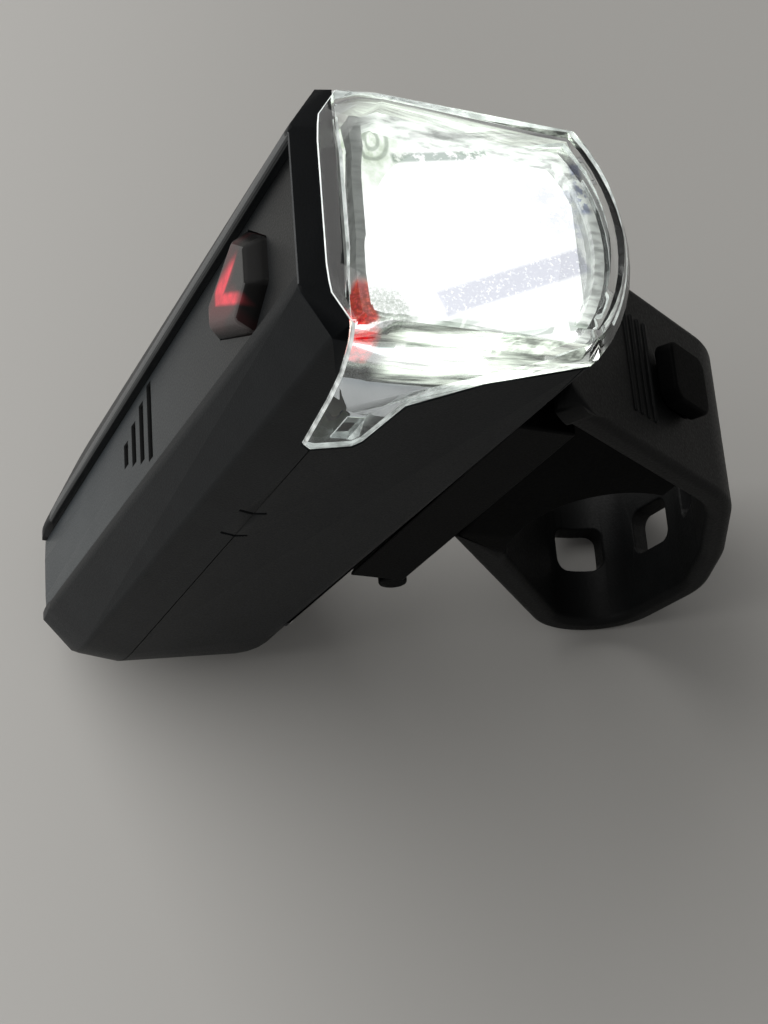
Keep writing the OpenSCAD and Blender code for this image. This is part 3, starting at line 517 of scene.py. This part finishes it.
# Pieces
def finish_piece(name, bm, body, finishes, node, sharp=32.0):
    """A mesh object from a bmesh that stands for a CAD node, shaded smooth up to an angle.

    Its faces' material numbers count along the names of the finishes.
    """
    big = [f for f in bm.faces if len(f.verts) > 4]
    bmesh.ops.triangulate(bm, faces=big)
    for vert in bm.verts:
        vert.co = [min(max(c, low), high) for c, low, high in zip(vert.co, *CAD_BOX)]
    mesh = bpy.data.meshes.new(name)
    bm.to_mesh(mesh)
    bm.free()
    mesh.shade_smooth()
    mesh.set_sharp_from_angle(angle=math.radians(sharp))
    piece = bpy.data.objects.new(name, mesh)
    bpy.context.scene.collection.objects.link(piece)
    for finish in finishes:
        mesh.materials.append(FINISHES[finish])
    even = piece.modifiers.new("even_shading", "WEIGHTED_NORMAL")
    even.keep_sharp = True
    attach(piece, body)
    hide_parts(node)


def merged_copy(node):
    """A bmesh copy of a CAD node with its triangles merged into faces."""
    bm = bmesh.new()
    bm.from_mesh(NODES[node].data)
    bmesh.ops.remove_doubles(bm, verts=bm.verts, dist=2e-6)
    bmesh.ops.dissolve_limit(
        bm, angle_limit=math.radians(0.6), verts=bm.verts, edges=bm.edges)
    return bm


def edge_turn(edge):
    """Degrees between the faces on both sides of an edge."""
    return math.degrees(edge.calc_face_angle(0.0))


def edge_mid(edge):
    """Middle of an edge in lamp millimetres."""
    return ROW_TO_LAMP @ ((edge.verts[0].co + edge.verts[1].co) / 2)


def face_mid(face):
    """Middle of a face in lamp millimetres."""
    return ROW_TO_LAMP @ face.calc_center_median()


def round_edges(bm, edges, width, segments, slot=-1):
    """Round edges by a width in millimetres, in the finish beside them or in one by number."""
    if edges:
        bmesh.ops.bevel(
            bm, geom=edges, offset=width * MM, offset_type="OFFSET", segments=segments,
            profile=0.5, affect="EDGES", clamp_overlap=False, material=slot)


def long_edges(bm, test, turn=14.0, least=0.8):
    """Convex feature edges whose middle passes a test in lamp millimetres."""
    return [
        e for e in bm.edges
        if len(e.link_faces) == 2 and e.is_convex and edge_turn(e) > turn
        and e.calc_length() > least * MM and test(edge_mid(e))
    ]


# Places on the housing, in lamp millimetres
SHOULDER_Z = -2.0
SHOULDER_Y = 11.0
SHOULDER_TAIL_X = -88.0
RAIL_X = (-84.0, -1.0)
RAIL_MIDDLE_Y = 7.75
RAIL_TAPER = 0.0253
RAIL_EDGE_Z = 0.9
RIDGE_Y = 7.2
CHINE_Z = -27.7
CHINE_SLOPE = 0.0454
CHINE_Y = 10.5
CHINE_TAIL_X = -76.0

# Rounding of the rails: far outer, near outer and inner edges; the test takes y and a rail's middle
RAIL_EDGES = (
    (0.85, 4, lambda y, middle: y > middle),
    (0.4, 3, lambda y, middle: y < -middle),
    (0.4, 3, lambda y, middle: abs(y) < middle),
)


def along_rails(point):
    return RAIL_X[0] < point.x < RAIL_X[1]


def rail_middle(point):
    return RAIL_MIDDLE_Y + point.x * RAIL_TAPER


def on_shoulder(point):
    return (
        abs(point.z - SHOULDER_Z) < 0.06 and abs(point.y) > SHOULDER_Y
        and point.x > SHOULDER_TAIL_X)


def on_ridge(point, reach):
    return abs(point.x) < reach and abs(point.y) < RIDGE_Y


def on_chine(point):
    return (
        abs(point.z - CHINE_Z + point.x * CHINE_SLOPE) < 0.1 and abs(point.y) > CHINE_Y
        and point.x > CHINE_TAIL_X)


def shell_finish(point):
    """Number of the finish of an upper shell's face: plain, painted highlight on the far rail and ridge,
    or painted shade on the brow.
    """
    # Painted highlight on the tops of the far rail and the ridge; painted shade on the brow at the
    # front.
    far_rail_highlight = point.z > 0.72 and point.y > 5.0 and along_rails(point)
    ridge_highlight = point.z > 0.88 and on_ridge(point, 0.6)
    if far_rail_highlight or ridge_highlight:
        return 1
    return 2 if point.x > -0.05 else 0


def make_shells():
    bm = merged_copy("upper_shell")
    round_edges(bm, long_edges(bm, on_shoulder), 0.45, 3)
    for width, segments, test in RAIL_EDGES:
        rail = long_edges(
            bm, lambda p: p.z > RAIL_EDGE_Z and along_rails(p) and test(p.y, rail_middle(p)))
        round_edges(bm, rail, width, segments)
    ridge = long_edges(bm, lambda p: p.z > RAIL_EDGE_Z and on_ridge(p, 0.1))
    round_edges(bm, ridge, 0.5, 4)
    for face in bm.faces:
        face.material_index = shell_finish(face_mid(face))
    finish_piece("upper_housing", bm, "lamp", ("shell", "rail", "brow"), "upper_shell")
    bm = merged_copy("lower_shell")
    round_edges(bm, long_edges(bm, on_chine, 8.0), 1.6, 4)
    finish_piece("lower_housing", bm, "lamp", ("shell",), "lower_shell")


# Place of the engraved bars on the panel, in lamp millimetres
BARS_X = (-58.0, -45.5)
BARS_Y = 5.4
BARS_Z = (-0.6, -0.02)


def in_bars(point):
    return BARS_X[0] < point.x < BARS_X[1] and abs(point.y) < BARS_Y


def make_panel():
    """Panel with dark bars painted as shade in their grooves, whose rims are rounded into the same
    painted shade.
    """
    bm = merged_copy("top_panel")
    for face in bm.faces:
        middle = face_mid(face)
        if in_bars(middle) and BARS_Z[0] < middle.z < BARS_Z[1]:
            face.material_index = 1
    rims = long_edges(bm, lambda p: in_bars(p) and p.z > -0.05, 60.0, 0.3)
    round_edges(bm, rims, 0.32, 2, 1)
    finish_piece("panel_insert", bm, "lamp", ("panel", "groove"), "top_panel")


def make_button():
    """Button with a soft top rim and a front darkened with painted shade."""
    bm = merged_copy("button")
    top = [e for e in bm.edges if e.is_convex and edge_turn(e) > 12 and edge_mid(e).z > 1.6]
    round_edges(bm, top, 0.45, 4)
    bm.normal_update()
    # Faces that point forward get the darker front: painted shade.
    for face in bm.faces:
        if (ROW_TO_LAMP.to_3x3() @ face.normal).normalized().x > 0.25:
            face.material_index = 1
    finish_piece("push_button", bm, "button", ("button", "button_front_painted_shade"), "button", sharp=52.0)


# Side view of the lens where it meets the housing, in lamp millimetres
LENS_CUT = (
    (1.5, 20.0), (1.5, -3.3), (-5.0, -4.7), (-10.0, -5.4), (-19.4, -6.4), (-20.0, -7.4),
    (-19.1, -11.4), (-17.9, -12.1), (-9.8, -13.2), (-4.6, -19.0), (-0.3, -27.7), (0.6, -67.7),
)


def on_lens_cut(point):
    """True on the line where the lens meets the housing."""
    for (x0, z0), (x1, z1) in zip(LENS_CUT, LENS_CUT[1:]):
        dx, dz = x1 - x0, z1 - z0
        share = ((point.x - x0) * dx + (point.z - z0) * dz) / (dx * dx + dz * dz)
        away = abs((point.x - x0) * dz - (point.z - z0) * dx) / math.hypot(dx, dz)
        if -0.01 < share < 1.01 and away < 0.03:
            return True
    return False


# The outer skin of the lens lies outside these limits, in lamp millimetres
SKIN_Y = 11.6
SKIN_MIDDLE_Z = -16.0
SKIN_REACH_Z = 12.6


def on_skin(edge):
    """True where an edge of the lens lies on its outer skin, not on its inner face."""
    middle = edge_mid(edge)
    return abs(middle.y) > SKIN_Y or abs(middle.z - SKIN_MIDDLE_Z) > SKIN_REACH_Z


def make_lens():
    """Lens with its cut edges lit, and a thin bright rim where it meets the housing."""
    bm = merged_copy("lens")
    cut = {f for f in bm.faces if all(on_lens_cut(ROW_TO_LAMP @ v.co) for v in f.verts)}
    for face in cut:
        if face_mid(face).x < -4.0:
            face.material_index = 1
    rim = [
        e for e in bm.edges
        if e.is_convex and sum(f in cut for f in e.link_faces) == 1 and edge_turn(e) > 30
        and on_skin(e)
    ]
    round_edges(bm, rim, 0.3, 2, 1)
    finish_piece("clear_lens", bm, "lamp", ("lens", "lens_edge"), "lens", sharp=24.0)


# Corners (x, z) of the strap's places that are too thin for rounding: its free end and its root
STRAP_THIN = ((-19.5, -41.0), (-49.6, -43.2))


def in_thin(edge):
    middle = edge_mid(edge)
    return any(middle.x > x and middle.z > z for x, z in STRAP_THIN)


def corner_edges(bm, turn):
    """Convex edges sharper than an angle."""
    return [
        e for e in bm.edges if len(e.link_faces) == 2 and e.is_convex and edge_turn(e) > turn
    ]


def on_strap_side(face):
    return abs(face.normal.y) > 0.99 and abs(face.calc_center_median().y) > 9.9 * MM


def round_strap(bm, width, segments):
    """Broad rounding along the strap's sides, then a small one on its other corners."""
    rims = [
        e for e in corner_edges(bm, 60.0)
        if not in_thin(e) and any(on_strap_side(f) for f in e.link_faces)
    ]
    round_edges(bm, rims, 1.0, 5)
    corners = [e for e in corner_edges(bm, 38.0) if not in_thin(e)]
    round_edges(bm, corners, width, segments)


# Node, piece, finish, rounding in millimetres and its segments
MOUNT_PIECES = (
    ("strap", "loop_strap", "rubber", 0.3, 2),
    ("saddle", "bar_saddle", "saddle", 0.35, 3),
    ("bracket", "slide_bracket", "bracket", 0.3, 2),
    ("release_tongue", "pull_tongue", "bracket", 0.25, 2),
    ("usb_cover", "port_cover", "rubber", 0.25, 2),
)


def make_mount():
    for node, name, finish, width, segments in MOUNT_PIECES:
        bm = merged_copy(node)
        if node == "strap":
            round_strap(bm, width, segments)
        else:
            round_edges(bm, corner_edges(bm, 38.0), width, segments)
        body = node if node in ("release_tongue", "usb_cover") else "lamp"
        finish_piece(name, bm, body, (finish,), node)


# Finishes of the CAD nodes that stay
CAD_FINISH = {
    "housing_screws": "steel", "saddle_screw": "steel",
    "seam_seal": "seal", "lens_gasket": "clear_seal", "reflector": "reflector",
    "led_emitter": "led", "led_board": "led_board", "heat_sink": "sink",
    "main_board": "board", "board_screws": "steel", "battery_cell": "cell",
    "usb_socket": "steel", "switch_body": "switch", "switch_stem": "stem",
    "indicator_leds": "indicator",
}


def dress_nodes():
    for node, finish in CAD_FINISH.items():
        slots = NODES[node].data.materials
        slots.clear()
        slots.append(FINISHES[finish])


# Stage
def make_stage():
    """A pale table, painted lighter towards the left as a pool of the window's light."""
    bm = bmesh.new()
    bmesh.ops.create_grid(bm, x_segments=8, y_segments=8, size=1.6)
    mesh = bpy.data.meshes.new("table")
    bm.to_mesh(mesh)
    bm.free()
    table = bpy.data.objects.new("table", mesh)
    bpy.context.scene.collection.objects.link(table)
    finish, tree, shader = new_finish("table_paper")
    place = tree.nodes.new("ShaderNodeTexCoord")
    cloud = noise(tree, place.outputs["Object"], 3.0, 3.0)
    paper = mixed(tree, cloud, (0.4, 0.393, 0.378, 1), (0.43, 0.423, 0.408, 1))
    # Painted light: the paper turns lighter towards the left.
    left = spread(tree, split(tree, place.outputs["Object"])[0], -0.06, 0.02, 1.0, 0.0, True)
    tree.links.new(
        mixed(tree, left, paper, (0.52, 0.512, 0.495, 1)), shader.inputs["Base Color"])
    shader.inputs["Roughness"].default_value = 0.7
    shader.inputs["Specular IOR Level"].default_value = 0.2
    mesh.materials.append(finish)


def soft_light(name, place, aim, size, power, colour):
    """A broad area lamp aimed at a point."""
    data = bpy.data.lights.new(name, "AREA")
    data.shape = "RECTANGLE"
    data.size, data.size_y = size
    data.energy = power
    data.color = colour
    light = bpy.data.objects.new(name, data)
    light.location = place
    light.rotation_euler = (Vector(aim) - Vector(place)).to_track_quat("-Z", "Y").to_euler()
    bpy.context.scene.collection.objects.link(light)


def make_lights():
    soft_light(
        "window_light", place=(-0.95, 0.62, 0.9), aim=(0, 0, 0.04), size=(2.2, 2.2), power=31.0,
        colour=(1.0, 0.99, 0.97))
    world = bpy.data.worlds.new("room")
    bpy.context.scene.world = world
    world.use_nodes = True
    sky = world.node_tree.nodes["Background"]
    sky.inputs["Color"].default_value = (1.0, 0.99, 0.975, 1)
    sky.inputs["Strength"].default_value = 0.27


bpy.context.scene.view_settings.view_transform = "Standard"
make_camera()
make_finishes()
make_shells()
make_panel()
make_button()
make_lens()
make_mount()
dress_nodes()
make_stage()
make_lights()
